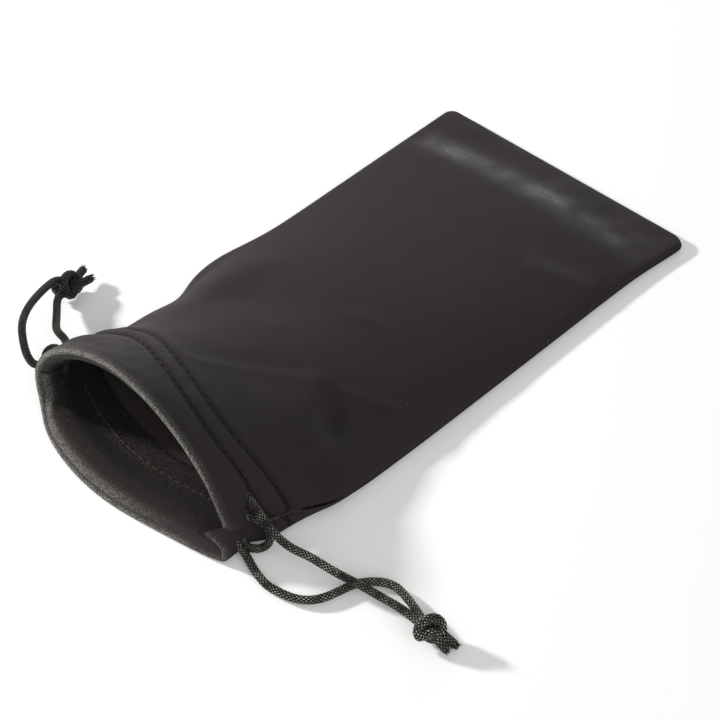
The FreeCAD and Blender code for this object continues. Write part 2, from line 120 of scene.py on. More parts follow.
# Each hem's right end: rows of distance from the rim, X and Z. The front one is a tongue turned down over the
# back one, which stands up as a wall.
RIGHT_END = {
    "front": [(0, 35.6, 9.4), (2.2, 36.2, 7.8), (4, 36.6, 7.5), (6, 35.8, 7.8), (8, 34.0, 8.6),
              (10, 32.2, 10.6), (12, 31.6, 10.8), (14, 34.4, 7.2), (16, 36.6, 4.7), (18, 37.4, 4.6)],
    "back": [(0, 32.8, 9.8), (3, 34.0, 9.6), (6, 34.2, 8.6), (9, 34.0, 7.6), (12, 34.0, 7.0), (14, 35.0, 5.8),
             (16, 36.6, 4.7), (18, 37.4, 4.5)],
}
# At the rim's right corner both ends curl in.
CURL = {"front": [(-2.2, -0.6), (0.7, -0.4)], "back": [(-3.0, -2.0), (1.8, 1.4)]}
CURL_REACH = 2.6
# How much of an edge's shift each column takes, counted from that edge: in X and in Z.
EDGE_SHARE = {
    **dict.fromkeys([("front", -1), ("back", -1), ("back", 1)], [(1, 1), (0.9, 0.9), (0.6, 0.6), (0.2, 0.2)]),
    ("front", 1): [(1, 1), (0.95, 0.95), (0.8, 0.8), (0.45, 0.45), (0.14, 0.14)],
}
# The back panel's columns beside the sewn seam: its foot stays out on the ground.
FOOT_SHARE = [(1, 1), (0.55, 0.6), (-0.1, 0.0), (0, 0)]
FOOT_START, FOOT_SLOPE = 8, 6
RIGHT_END_DELAY = 1.5

# The front panel's creases: each line's start and end, width and height.
CREASES = [
    ((-7.6, -54.7), (15.9, -31.5), 2.2, 0.30), ((-6, -51), (12, -34), 6.0, -0.4),
    ((23.5, -27.5), (38.5, -18.0), 2.0, 0.35), ((24, 50), (40, 56), 4.5, 0.5),
]
# Its dents and swellings: each one's middle, two widths, turn in degrees and height.
DENTS = [
    ((29, -31), (9, 5.5), -25, -0.5), ((28.2, -37), (7.0, 3.0), -47, -2.4),
    ((36.5, -51), (5.5, 3.4), 10, -1.7), ((-13, -15), (13, 9), 30, -0.6),
    ((8.3, -3.5), (8, 2.5), 25, 0.25), ((-33, -20), (7, 18), 0, 1.6),
]
# Swellings of a hem, with the distance from the rim in place of Y.
HEM_SWELLINGS = [((-38, 8), (11, 5.5), 0, 2.2), ((-38, 20), (9, 6), 0, 2.0)]
# The lines near the closed end where the cloth is pressed smooth: start and end, width and strength.
PRESSED = [((-37, 75), (39, 79.5), 5.6, 0.9, 0.1), ((25, 50), (41, 56), 3.5, 0.8)]
ROW_DENT, EDGE_DENT = 0.55, 0.42


# ---- The pouch's surfaces ----

def fade(distance, reach, power):
    """exp(-(distance / reach) ** power): 1 at the rim and 0 well beyond the reach."""
    return np.exp(-((distance / reach) ** power))


def smooth_step(value):
    """3 v^2 - 2 v^3 of the value held between 0 and 1."""
    value = np.clip(value, 0, 1)
    return value * value * (3 - 2 * value)


def bump(offset, width):
    """A bell curve, exp(-(offset / width)^2)."""
    return np.exp(-((offset / width) ** 2))


def unit(vectors):
    """The vectors, each made one long."""
    return vectors / np.maximum(np.linalg.norm(vectors, axis=-1, keepdims=True), 1e-9)


def walk(line):
    """How far along a line each of its points lies."""
    return np.concatenate([[0], np.cumsum(np.linalg.norm(np.diff(line, axis=0), axis=1))])


def read(field, walked, places):
    """A field of three values given along a walk, read at some places of the walk."""
    return np.stack([np.interp(places, walked, field[:, k]) for k in range(3)], axis=-1)


def half_width(side, distance):
    """Half the flat width at a distance from the rim, less a quarter circle at the closed corner. The right
    side flares out towards that corner as a bell curve. The left side draws in behind the hem and swells out
    further back, as two bell curves of the distance."""
    radius = np.where(side < 0, CORNER_LEFT, CORNER_RIGHT)
    into_corner = np.clip(distance - (LENGTH - radius), 0, radius)
    flare = FLARE * bump(LENGTH - distance, FLARE_REACH) * (side > 0)
    wave = (SWELL * bump(distance - SWELL_PLACE, SWELL_REACH)
            - WAIST * bump(distance - WAIST_PLACE, WAIST_REACH)) * (side < 0)
    return HALF_WIDTH + flare + wave - radius + np.sqrt(radius ** 2 - into_corner ** 2)


def slit(distance):
    """1 along the hem's free end and 0 where the side is sewn."""
    return 1 - smooth_step((distance - ROW_TUNNEL + SLIT_SLOPE / 2) / SLIT_SLOPE)


def along(setback, distance):
    """Y at a distance from a rim that stands back by a share of the setback."""
    rim = -BACK_END + setback * MOUTH_SETBACK
    return rim + distance / LENGTH * (BACK_END - rim)


def crown(distance):
    """Height of the body's middle over its edge: it falls evenly, then faster in a band before the closed
    end, and to nothing at that end."""
    even = CROWN_CLOSED_END + (CROWN_MOUTH_END - CROWN_CLOSED_END) * (1 - distance / LENGTH)
    left = np.maximum(LENGTH - distance, 0)
    band = 1 - BAND_FALL * smooth_step((BAND_START - left) / BAND_WIDTH)
    return even * band * (1 - np.exp(-left / CLOSED_END_RISE))


def seam_line(side, distance):
    """The side seam from the rim's corner back: it drops from the corner's lift and widens. The right one is
    drawn in and up where the hems' rows end."""
    narrow, lift, corner = (NARROW_LEFT, LIFT_LEFT, 0) if side < 0 else (NARROW_RIGHT, LIFT_RIGHT, -1)
    x = side * (half_width(side, distance) - narrow * fade(distance, NARROW_REACH, NARROW_POWER))
    z = EDGE_MIDDLE + lift * fade(distance, LIFT_REACH_EDGE, LIFT_POWER)
    if side > 0:
        x = x - DRAWN_IN * smooth_step((DRAWN_IN_START - distance) / DRAWN_IN_SLOPE)
        z = z + DRAWN_UP * smooth_step((DRAWN_UP_START - distance) / DRAWN_UP_SLOPE)
    return np.stack([x, along(FRONT_RIM[corner, 1], distance), z], axis=-1)


def net(panel, distance):
    """Control points of the outer face for an array of distances: rows x columns x 3. The open rim's shape
    fades into the flat body's, and the edges are drawn onto the seam, or off it beside the slit."""
    front = panel == "front"
    rim = FRONT_RIM if front else BACK_RIM
    s = distance[:, None]
    share = ACROSS[None, :]
    reach = LIFT_REACH + (LIFT_REACH_EDGE - LIFT_REACH) * np.abs(share) ** 3
    lifted = fade(s, reach, LIFT_POWER)
    narrowed = fade(s, NARROW_REACH, NARROW_POWER)
    body_z = (EDGE_TOP + crown(s) * (1 - np.abs(share) ** CROWN_POWER)) if front else 0 * s * share
    sewn = EDGE_MIDDLE * (1 - slit(s)) + body_z * slit(s)
    body_z = np.where(np.abs(share) == 1, sewn, body_z)
    flat_half = half_width(np.where(share < 0, -1.0, 1.0), s)
    x = narrowed * rim[:, 0] * HALF_WIDTH + (1 - narrowed) * share * flat_half
    z = lifted * rim[:, 2] * MOUTH_HEIGHT + (1 - lifted) * body_z
    points = np.stack([x, along(rim[:, 1], s) + 0 * x, z], axis=-1)
    gap = LAYER_GAP / 2 if front else -LAYER_GAP / 2
    for side in (-1, 1):
        edge = seam_line(side, distance) + [0, 0, gap]
        if side < 0:
            at_rim, more = (np.array(v, float) for v in LEFT_END[panel])
            edge = edge + (at_rim + more * (s / ROW_TUNNEL)) * fade(s, LIFT_REACH_EDGE, LIFT_POWER) * slit(s)
        else:
            own = eased(distance, RIGHT_END[panel])
            edge[:, [0, 2]] += (own - edge[:, [0, 2]]) * slit(s - RIGHT_END_DELAY)
        taken = np.array(EDGE_SHARE[panel, side], float)[None]
        if side > 0 and not front:
            foot = smooth_step((s[..., None] - FOOT_START) / FOOT_SLOPE)
            taken = taken + (np.array(FOOT_SHARE)[None] - taken) * foot
        columns = [i if side < 0 else -1 - i for i in range(taken.shape[1])]
        shift = edge - points[:, columns[0]]
        points[:, columns, 0] += shift[:, 0, None] * taken[..., 0]
        points[:, columns, 2] += shift[:, 2, None] * taken[..., 1]
    for column, (x, z) in zip((-1, -2), CURL[panel]):
        points[:, column] += np.array([x, 0, z]) * bump(s, CURL_REACH)
    return points


def eased(distance, rows, width=0.8):
    """The last two columns of a table at some distances, with its corners rounded: each value is the mean of
    the straight-line values near it, weighed by a bell curve."""
    near = np.linspace(-2 * width, 2 * width, 9)
    weight = bump(near, width) / bump(near, width).sum()
    rows = np.array(rows, float)
    at = distance[:, None] + near
    return np.stack([np.interp(at, rows[:, 0], rows[:, k]) @ weight for k in (1, 2)], axis=-1)


def spline_weights(t):
    """Weights of a panel's columns, as a clamped cubic spline's control points, at parameters from 0 to the
    number of its spans."""
    knots = np.concatenate([[0] * 3, np.arange(SPANS + 1), [SPANS] * 3]).astype(float)
    t = np.clip(t, 0, SPANS - 1e-9)
    basis = ((knots[None, :-1] <= t[:, None]) & (t[:, None] < knots[None, 1:])).astype(float)
    for degree in (1, 2, 3):
        left = knots[degree:-1] - knots[:-1 - degree]
        right = knots[degree + 1:] - knots[1:-degree]
        rise = np.where(left > 0, (t[:, None] - knots[:-1 - degree]) / np.where(left > 0, left, 1), 0)
        fall = np.where(right > 0, (knots[degree + 1:] - t[:, None]) / np.where(right > 0, right, 1), 0)
        basis = rise * basis[:, :-1] + fall * basis[:, 1:]
    return basis


def edged_weights(count):
    """Spline weights at places across a panel, closer together near its edges."""
    fine = np.linspace(0, SPANS, 2000)
    spread = 0.72 * (spline_weights(fine) @ ACROSS) + 0.28 * (2 * fine / fine[-1] - 1)
    return spline_weights(np.interp(np.linspace(-1, 1, count), spread, fine))


def noise(x, y, size, seed):
    """Smooth unevenness between about -1 and 1: a sum of plane waves of about one size, in directions and
    phases drawn from the seed."""
    random = np.random.default_rng(seed)
    total = 0
    for _ in range(7):
        angle, phase = random.uniform(0, 2 * math.pi, 2)
        wave = 2 * math.pi / (size * random.uniform(0.75, 1.5))
        total = total + np.sin(wave * (x * math.cos(angle) + y * math.sin(angle)) + phase)
    return total / 3.2


def fold_line(x, y, start, end, width, height, tail=0.25):
    """A straight ridge or valley: a bell curve across the line from start to end, dying away at its ends."""
    start, end = np.array(start, float), np.array(end, float)
    run = end - start
    length = np.linalg.norm(run)
    run = run / length
    t = ((x - start[0]) * run[0] + (y - start[1]) * run[1]) / length
    off = (x - start[0]) * -run[1] + (y - start[1]) * run[0]
    ends = smooth_step((t + tail) / tail) * smooth_step((1 + tail - t) / tail)
    return height * bump(off, width) * ends


def hollow(x, y, middle, size, turn, height):
    """An oval dent or swelling: a bell curve of two widths, turned by an angle in degrees."""
    c, s = math.cos(math.radians(turn)), math.sin(math.radians(turn))
    u = (x - middle[0]) * c + (y - middle[1]) * s
    v = -(x - middle[0]) * s + (y - middle[1]) * c
    return height * np.exp(-((u / size[0]) ** 2) - (v / size[1]) ** 2)


def front_relief(x, y, distance):
    """How far the front panel's cloth stands off its smooth shape: creases, dents and stitched rows."""
    body = smooth_step((distance - ROW_EDGE) / 6) * smooth_step((LENGTH - distance) / 4)
    middle = smooth_step((HALF_WIDTH - np.abs(x)) / 6)
    relief = 0.16 * noise(x, y, 34, 3) + 0.04 * noise(x, y, 13, 5)
    relief = relief + sum(fold_line(x, y, *crease) for crease in CREASES)
    relief = relief + sum(hollow(x, y, *dent) for dent in DENTS)
    relief = relief * body * middle
    far = smooth_step((y - 60) / 15) * smooth_step((LENGTH - distance) / 3) * middle
    relief = relief + far * (0.16 * noise(x, y, 15, 11) + 0.07 * noise(x, y, 7, 12))
    return relief + hem_relief(x, even_distance("front", x, distance))


def row_drift(x):
    """How far the front hem's rows wander from their even distance: out at the left, where the tunnel lies
    taut, and in to the right of the middle, where it is bunched."""
    return 5.5 * bump(x + 28, 14) - 5.2 * bump(x - 15, 19)


def hem_relief(x, distance):
    """The hem's outer face: the tunnel swells over the cords, ripples, and is drawn in at each row."""
    tunnel = smooth_step(distance / 3) * smooth_step((ROW_TUNNEL - distance) / 3)
    swell = tunnel * (0.18 * noise(x, distance * 2.5, 26, 21) + 0.06 * noise(x * 1.6, distance, 9, 22))
    swell = swell + sum(hollow(x, distance, *swelling) for swelling in HEM_SWELLINGS)
    ripple = 0.077 * np.sin(2 * math.pi * x / STITCH_PITCH) * bump(distance - ROW_TUNNEL, 2.0)
    rows = -ROW_DENT * bump(distance - ROW_TUNNEL, 0.75) - EDGE_DENT * bump(distance - ROW_EDGE, 0.7)
    between = 0.22 * bump(distance - (ROW_TUNNEL + ROW_EDGE) / 2, 2.0) + 0.12 * bump(distance - RAW_EDGE, 1.2)
    return swell + ripple + rows + between * (1 + 0.6 * noise(x, distance, 7, 23))


def even_distance(panel, x, distance):
    """The distance at which a place on the hem would lie if its rows didn't wander."""
    return distance - row_drift(x) * smooth_step(distance / 8) * (panel == "front")


def back_relief(x, y, distance):
    """The back panel lies flat; only its hem and its walls beside the mouth are uneven."""
    return 0.5 * hem_relief(x, distance) * smooth_step((ROW_EDGE + 4 - distance) / 3)


RELIEF = {"front": front_relief, "back": back_relief}


def outer_face(panel, distance, weights):
    """Points and outward unit normals of a panel's outer face, rows x columns x 3. Where the panels are sewn,
    the normals lie flat at the edge. The back panel's relief shows only where it stands up."""
    behind, points, ahead = (
        np.einsum("rcx,uc->rux", net(panel, np.clip(distance + shift, 0, LENGTH)), weights)
        for shift in (-NORMAL_STEP, 0, NORMAL_STEP))
    normal = np.cross(np.gradient(points, axis=1), ahead - behind)
    if panel == "back":
        normal = -normal
    edge = np.abs(weights @ ACROSS) > 0.998
    normal[:, edge, 2] *= slit(distance)[:, None]
    normal = unit(normal)
    relief = RELIEF[panel](points[..., 0], points[..., 1], distance[:, None] + 0 * points[..., 0])
    if panel == "back":
        relief = relief * smooth_step((0.55 - np.abs(normal[..., 2])) / 0.3)
    return points + normal * relief[..., None], normal


# Where the turned-in layer starts to come down to the outer one, as a share of the tunnel's width.
CLOSING_START = {"front": 0.72, "back": 0.47}
BODY_ROWS, HEM_ROWS, FOLD_ROWS, INNER_ROWS = 128, 48, 13, 40
BODY_START, HEM_END = 28.0, 27.4
PANEL_COLUMNS = 141


def hem_section(panel):
    """(distance, depth, turn) from the closed end round the fold to the raw edge. Turn is 0 on the outer
    face, pi on the turned-in layer, and between them round the fold's half circle. The rows lie closer
    together at the closed end and in the hem."""
    radius = FOLD / 2
    body = LENGTH - np.concatenate([[0, 0.12, 0.35, 0.8, 1.5],
                                    np.linspace(2.6, LENGTH - BODY_START, BODY_ROWS)])
    hem = np.linspace(HEM_END, radius, HEM_ROWS)
    turn = np.linspace(0, math.pi, FOLD_ROWS)[1:-1]
    inner = np.linspace(radius, RAW_EDGE, INNER_ROWS)
    opening = smooth_step((inner - 0.3) / 2.4)
    closing_start = CLOSING_START[panel]
    closing = smooth_step((inner / ROW_TUNNEL - closing_start) / (1.02 - closing_start))
    turned_in = FOLD + (HEM - FOLD) * opening - (HEM - SEWN_DEPTH) * closing
    outer = np.concatenate([body, hem])
    distance = np.concatenate([outer, radius - radius * np.sin(turn), inner])
    depth = np.concatenate([0 * outer, radius * (1 - np.cos(turn)), turned_in])
    turns = np.concatenate([0 * outer, turn, 0 * inner + math.pi])
    return distance, depth, turns


def layer(panel, distance, depth, weights):
    """The outer face's points at some distances, moved inwards along its normals by the depths."""
    points, normal = outer_face(panel, np.clip(distance, 0, LENGTH), weights)
    return points - normal * depth[:, None, None]


def mesh_piece(name, points, faces, uv=None, tube_quads=0):
    """A smooth mesh object at the origin from points in millimetres and a UV for each point. The first
    tube_quads faces run round a tube: in one that crosses U's seam, the low values go up by a whole turn."""
    mesh = bpy.data.meshes.new(name)
    mesh.from_pydata((np.asarray(points) * MM).tolist(), [], faces)
    mesh.polygons.foreach_set("use_smooth", np.full(len(mesh.polygons), True))
    if uv is not None:
        corners = np.empty(len(mesh.loops), np.int32)
        mesh.loops.foreach_get("vertex_index", corners)
        uv = np.asarray(uv)[corners]
        quads = uv[:tube_quads * 4].reshape(-1, 4, 2)
        crosses = np.ptp(quads[..., 0], axis=1) > 0.5
        quads[..., 0] += crosses[:, None] & (quads[..., 0] < 0.5)
        uv[:tube_quads * 4] = quads.reshape(-1, 2)
        mesh.uv_layers.new(name="UVMap").data.foreach_set("uv", uv.ravel().astype(np.float32))
    mesh.update()
    piece = bpy.data.objects.new(name, mesh)
    bpy.context.scene.collection.objects.link(piece)
    return piece


def keep(pieces, piece, body, slot, *nodes, finish=None):
    """Puts a piece among the others, attaches it to the body that it rides on if one is given, hides the CAD
    nodes that it stands for, and gives it its finish, which has the slot's name unless it is given."""
    pieces[piece.name] = piece
    if body:
        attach(piece, body)
    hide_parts(*nodes)
    piece.data.materials.append(finishes[finish or slot])


def grid_faces(rows, columns, start=0, wrap=False):
    """Quads of a grid numbered row by row."""
    r = np.arange(rows - 1)[:, None]
    c = np.arange(columns if wrap else columns - 1)[None, :]
    after = (c + 1) % columns
    a, b = r * columns + c, r * columns + after
    return start + np.stack([a, b, b + columns, a + columns], axis=-1).reshape(-1, 4)


def outward(points, faces):
    """The faces, turned round if the closed mesh that they make is inside out."""
    p = points[faces]
    volume = np.einsum("ij,ij->i", np.cross(p[:, 0], p[:, 1]), p[:, 2]).sum()
    volume += np.einsum("ij,ij->i", np.cross(p[:, 0], p[:, 2]), p[:, 3]).sum()
    return faces if volume > 0 else faces[:, ::-1]


def cloth_panel(panel):
    """A panel as a closed sheet: its outer face carried round the hem's fold, its reverse one cloth's
    thickness under it, and strips round the edges."""
    distance, depth, turn = hem_section(panel)
    weights = edged_weights(PANEL_COLUMNS)
    face = layer(panel, distance, depth, weights)
    reverse = layer(panel, distance + CLOTH * np.sin(turn), depth + CLOTH * np.cos(turn), weights)
    closed_end = np.maximum(0, 1 - (LENGTH - distance) / CLOTH)
    reverse[..., 1] -= (CLOTH * closed_end)[:, None]
    face[0, :, 2] = reverse[0, :, 2] = EDGE_MIDDLE + (LAYER_GAP / 2 if panel == "front" else -LAYER_GAP / 2)
    if panel == "back":
        face[..., 2] = np.maximum(face[..., 2], GROUND)
        reverse[..., 2] = np.maximum(reverse[..., 2], GROUND + 0.7 * CLOTH)
    rows, columns = face.shape[:2]
    count = rows * columns
    points = np.concatenate([face.reshape(-1, 3), reverse.reshape(-1, 3)])
    r, c = np.arange(rows), np.arange(columns)
    rim = np.concatenate([r * columns, (rows - 1) * columns + c[1:], r[::-1][1:] * columns + columns - 1,
                          c[::-1][1:-1]])
    after = np.roll(rim, -1)
    strips = np.stack([after, rim, rim + count, after + count], axis=-1)
    faces = np.concatenate([grid_faces(rows, columns), grid_faces(rows, columns, count)[:, ::-1], strips])
    path = np.cumsum(np.concatenate([[0], np.hypot(np.diff(distance), np.diff(depth))]))
    uv = np.stack(np.broadcast_arrays(face[..., 0], path[:, None]), axis=-1).reshape(-1, 2) / 10
    piece = mesh_piece(f"{panel}_cloth", points, outward(points, faces).tolist(), np.concatenate([uv, uv]))
    mark_cloth(piece, panel, face[..., 0], face[..., 1], distance[:, None], turn[:, None])
    return piece


def mark_cloth(piece, panel, x, y, distance, turn):
    """Attributes for the cloth's material, each from 0 to 1, on the outer face and on the reverse: the fold's
    pale grain, partly the pile's own and partly painted highlight, the reverse's own face, the turned-in
    layer's painted shade, the lines pressed smooth and the stitched rows' painted shade."""
    outer, inner = turn == 0, turn == math.pi
    from_rim = distance - FOLD / 2
    # The fold's pale grain: partly the pile's own, partly painted highlight where the pile catches the light.
    # It runs round the fold and beside it on both faces, is strongest on the back's lip from the left corner
    # to the middle, and is weaker to the right.
    highlight_by_x = smooth_step((22 - x) / 24) * smooth_step((x + 44) / 8) * (panel == "back")
    fold = bump(turn - math.pi / 2, 1.05) * (turn > 0) + 0.50 * highlight_by_x * bump(from_rim, 1.9) * inner
    fold = fold + (0.25 + 0.5 * highlight_by_x) * bump(from_rim, 0.8 + 1.2 * highlight_by_x) * outer
    fold = np.clip(fold * (1 - 0.55 * smooth_step((x - 20) / 10)), 0, 1)
    nothing = 0 * x
    # Painted shade: the turned-in layer inside the mouth is darkened.
    turned_in = smooth_step((distance - 1) / 5) * inner + nothing
    pressed = sum(fold_line(x, y, *line) for line in PRESSED)
    pressed = pressed * (0.76 + 0.24 * noise(x, y, 19, 31) + 0.12 * noise(x, y, 8, 32))
    pressed = np.clip(pressed, 0, 1) * (panel == "front") * outer
    even = even_distance(panel, x, distance)
    # Painted shade along the stitched rows' grooves.
    rows = np.clip(bump(even - ROW_TUNNEL, 0.7) + bump(even - ROW_EDGE, 0.7), 0, 1) * outer
    for kind, over, under in (("fold", fold, fold), ("lining", nothing, nothing + 1),
                              ("turned_in", turned_in, nothing), ("pressed", pressed, nothing),
                              ("row", rows, nothing)):
        attribute = piece.data.attributes.new(kind, "FLOAT", "POINT")
        attribute.data.foreach_set("value", np.concatenate([over.ravel(), under.ravel()]).astype(np.float32))


# ---- Materials ----

def node_material(name):
    """A new material, its node tree and its shader."""
    material = bpy.data.materials.new(name)
    material.use_nodes = True
    tree = material.node_tree
    return material, tree, tree.nodes["Principled BSDF"]


def connect(node, inputs):
    """Sets a node's inputs: each to a number, to a colour, or to another node's output."""
    for name, value in inputs.items():
        if isinstance(value, bpy.types.NodeSocket):
            node.id_data.links.new(value, node.inputs[name])
        elif isinstance(value, tuple):
            node.inputs[name].default_value = (*value, 1)
        else:
            node.inputs[name].default_value = value


def make_node(tree, kind, output, inputs, **settings):
    """A new node's output, with the node's settings and inputs."""
    node = tree.nodes.new(kind)
    for setting, value in settings.items():
        setattr(node, setting, value)
    connect(node, inputs)
    return node.outputs[output]


def calculate(operation, a, b=None, clamp=False):
    """A math node's output for one or two values, the first of which is another node's output."""
    return make_node(a.id_data, "ShaderNodeMath", 0, {0: a} if b is None else {0: a, 1: b},
                     operation=operation, use_clamp=clamp)


times, plus, minus = (partial(calculate, operation) for operation in ("MULTIPLY", "ADD", "SUBTRACT"))


def noise_node(vector, scale, detail=3, roughness=0.5):
    return make_node(vector.id_data, "ShaderNodeTexNoise", "Fac",
                     {"Vector": vector, "Scale": scale, "Detail": detail, "Roughness": roughness})


def mix_color(factor, a, b):
    return make_node(factor.id_data, "ShaderNodeMix", "Result", {"Factor": factor, "A": a, "B": b},
                     data_type="RGBA")


def bump_node(height, strength, distance):
    return make_node(height.id_data, "ShaderNodeBump", "Normal",
                     {"Height": height, "Strength": strength, "Distance": distance})


def attribute_node(tree, name):
    return make_node(tree, "ShaderNodeAttribute", "Fac", {}, attribute_name=name)


def coordinates(tree):
    """A piece's Object coordinates, and its UV map's two values."""
    place = tree.nodes.new("ShaderNodeTexCoord").outputs["Object"]
    split = tree.nodes.new("ShaderNodeSeparateXYZ")
    connect(split, {0: tree.nodes.new("ShaderNodeUVMap").outputs["UV"]})
    return place, split.outputs["X"], split.outputs["Y"]


def cloth_material():
    """Brushed microfibre with a satin sheen: a fine weave of two wave families, a short uneven nap, a few
    specks of lint, and a paler, grainier fold at the rim, partly the pile's own grain and partly painted
    highlight.
    The turned-in layer and the stitched rows carry painted shade."""
    material, tree, shader = node_material("cloth")
    place, u, v = coordinates(tree)
    threads = 2 * math.pi / 0.042
    weave = times(calculate("SINE", times(u, threads)), calculate("SINE", times(v, threads)))
    nap = noise_node(place, 5200, 2, 0.6)
    grain = noise_node(place, 3600, 3, 0.6)
    speck = minus(grain, 0.44, clamp=True)
    # Painted highlight on the fold's pale grain, partly the pile's own paler colour.
    pale = times(attribute_node(tree, "fold"), times(speck, 6.0, clamp=True))
    base = mix_color(noise_node(place, 30, 3, 0.5), (0.0235, 0.0187, 0.0197), (0.0287, 0.0235, 0.0245))
    # The reverse's own paler face; painted shade on the turned-in layer inside the mouth; painted shade along
    # the stitched rows' grooves.
    for kind, colour in (("lining", (0.066, 0.054, 0.053)), ("turned_in", (0.0115, 0.0090, 0.0088)),
                         ("row", (0.007, 0.006, 0.006))):
        base = mix_color(attribute_node(tree, kind), base, colour)
    colour = mix_color(pale, base, (0.320, 0.316, 0.285))
    dots = make_node(tree, "ShaderNodeTexVoronoi", "Distance", {"Vector": place, "Scale": 190})
    colour = mix_color(times(calculate("LESS_THAN", dots, 0.028), 0.35), colour, (0.30, 0.29, 0.27))
    rubs = plus(times(noise_node(place, 1500, 2, 0.7), 0.70), 0.02)
    smoothed = times(attribute_node(tree, "pressed"), rubs)
    connect(shader, {
        "Base Color": colour, "Roughness": minus(plus(times(nap, 0.14), 0.60), smoothed),
        "Specular IOR Level": 0.18, "Sheen Weight": 0.03, "Sheen Roughness": 0.40,
        "Sheen Tint": (0.9, 0.88, 0.85), "Normal": bump_node(plus(times(weave, 0.35), nap), 0.10, 0.00006)})
    return material


def thread_material(name, dark, light):
    """Dull twisted sewing thread: fine slanting bands on Object coordinates."""
    material, tree, shader = node_material(name)
    place = tree.nodes.new("ShaderNodeTexCoord").outputs["Object"]
    twist = make_node(tree, "ShaderNodeTexWave", "Fac", {"Vector": place, "Scale": 1400},
                      bands_direction="DIAGONAL")
    connect(shader, {"Base Color": mix_color(twist, dark, light), "Roughness": 0.5,
                     "Normal": bump_node(twist, 0.4, 0.00005)})
    return material


def cord_material():
    """Round braid on its own UV map: U runs once round the cord and V along it in braid repeats. The strands'
    crowns are paler than the gaps where a painted highlight falls: pale specks and small glints in patches,
    stronger towards +X."""
    material, tree, shader = node_material("cord")
    place, u, v = coordinates(tree)
    around, length = times(u, math.pi * BRAID_STRANDS), times(v, math.pi)
    one, other = calculate("SINE", plus(around, length)), calculate("SINE", minus(around, length))
    crowns = calculate("ABSOLUTE", times(one, other))
    specks, patches = noise_node(place, 1500, 2, 0.7), noise_node(place, 260, 2, 0.5)
    # Painted highlight: pale specks and glints on the strands' crowns, in patches, stronger towards +X.
    top = times(minus(crowns, 0.58), 3.6, clamp=True)
    x = make_node(tree, "ShaderNodeSeparateXYZ", "X", {0: place})
    highlight_by_x = plus(times(x, 9.0), 0.60, clamp=True)
    glint_patches = times(times(minus(patches, 0.30), 3.2, clamp=True), calculate("MAXIMUM", highlight_by_x, 0.22))
    some = times(minus(specks, 0.30), 3.0, clamp=True)
    lit = times(top, times(some, glint_patches), clamp=True)
    base = mix_color(patches, (0.007, 0.007, 0.0055), (0.013, 0.0125, 0.010))
    connect(shader, {"Base Color": mix_color(lit, base, (0.66, 0.65, 0.57)), "Roughness": 0.5,
                     "Specular IOR Level": 0.3, "Normal": bump_node(specks, 0.35, 0.00008)})
    return material


def floor_material():
    """A pale ground that the camera sees as plain white away from the shadows."""
    material, tree, shader = node_material("ground")
    seen = tree.nodes.new("ShaderNodeLightPath").outputs["Is Camera Ray"]
    connect(shader, {"Base Color": (0.86, 0.86, 0.85), "Roughness": 0.9, "Specular IOR Level": 0.1,
                     "Emission Color": (1, 1, 1), "Emission Strength": times(seen, 0.12)})
    return material


# ---- Cords ----

BRAID_STRANDS = 8
BRAID_REPEAT = 1.15
BRAID_RELIEF, BRAID_POWER = 0.12, 0.7
CORD_DOME = 0.5


def smooth_route(name, points):
    """Points of the NURBS line with these control points, in millimetres."""
    curve = bpy.data.curves.new(name, "CURVE")
    curve.dimensions = "3D"
    curve.resolution_u = 24
    spline = curve.splines.new("NURBS")
    spline.points.add(len(points) - 1)
    for point, place in zip(spline.points, points):
        point.co = (*(np.array(place) * MM), 1)
    spline.order_u = 3
    spline.use_endpoint_u = True
    holder = bpy.data.objects.new(name, curve)
    bpy.context.scene.collection.objects.link(holder)
    line = bpy.data.meshes.new_from_object(holder)
    path = np.empty(len(line.vertices) * 3)
    line.vertices.foreach_get("co", path)
    bpy.data.objects.remove(holder)
    bpy.data.meshes.remove(line)
    return path.reshape(-1, 3) / MM


def even_path(path, step):
    """A path walked in even steps, and its length."""
    walked = walk(path)
    stations = np.linspace(0, walked[-1], max(int(round(walked[-1] / step)), 2) + 1)
    return read(path, walked, stations), walked[-1]


def side_vectors(path):
    """Two unit vectors across a path at each of its points, turning as little as they can along it."""
    tangent = unit(np.gradient(path, axis=0))
    first = np.cross(tangent[0], [0.0, 0.0, 1.0] if abs(tangent[0][2]) < 0.9 else [1.0, 0.0, 0.0])
    sides = [unit(first)]
    for direction in tangent[1:]:
        sides.append(unit(sides[-1] - direction * np.dot(sides[-1], direction)))
    sides = np.array(sides)
    return sides, np.cross(tangent, sides)


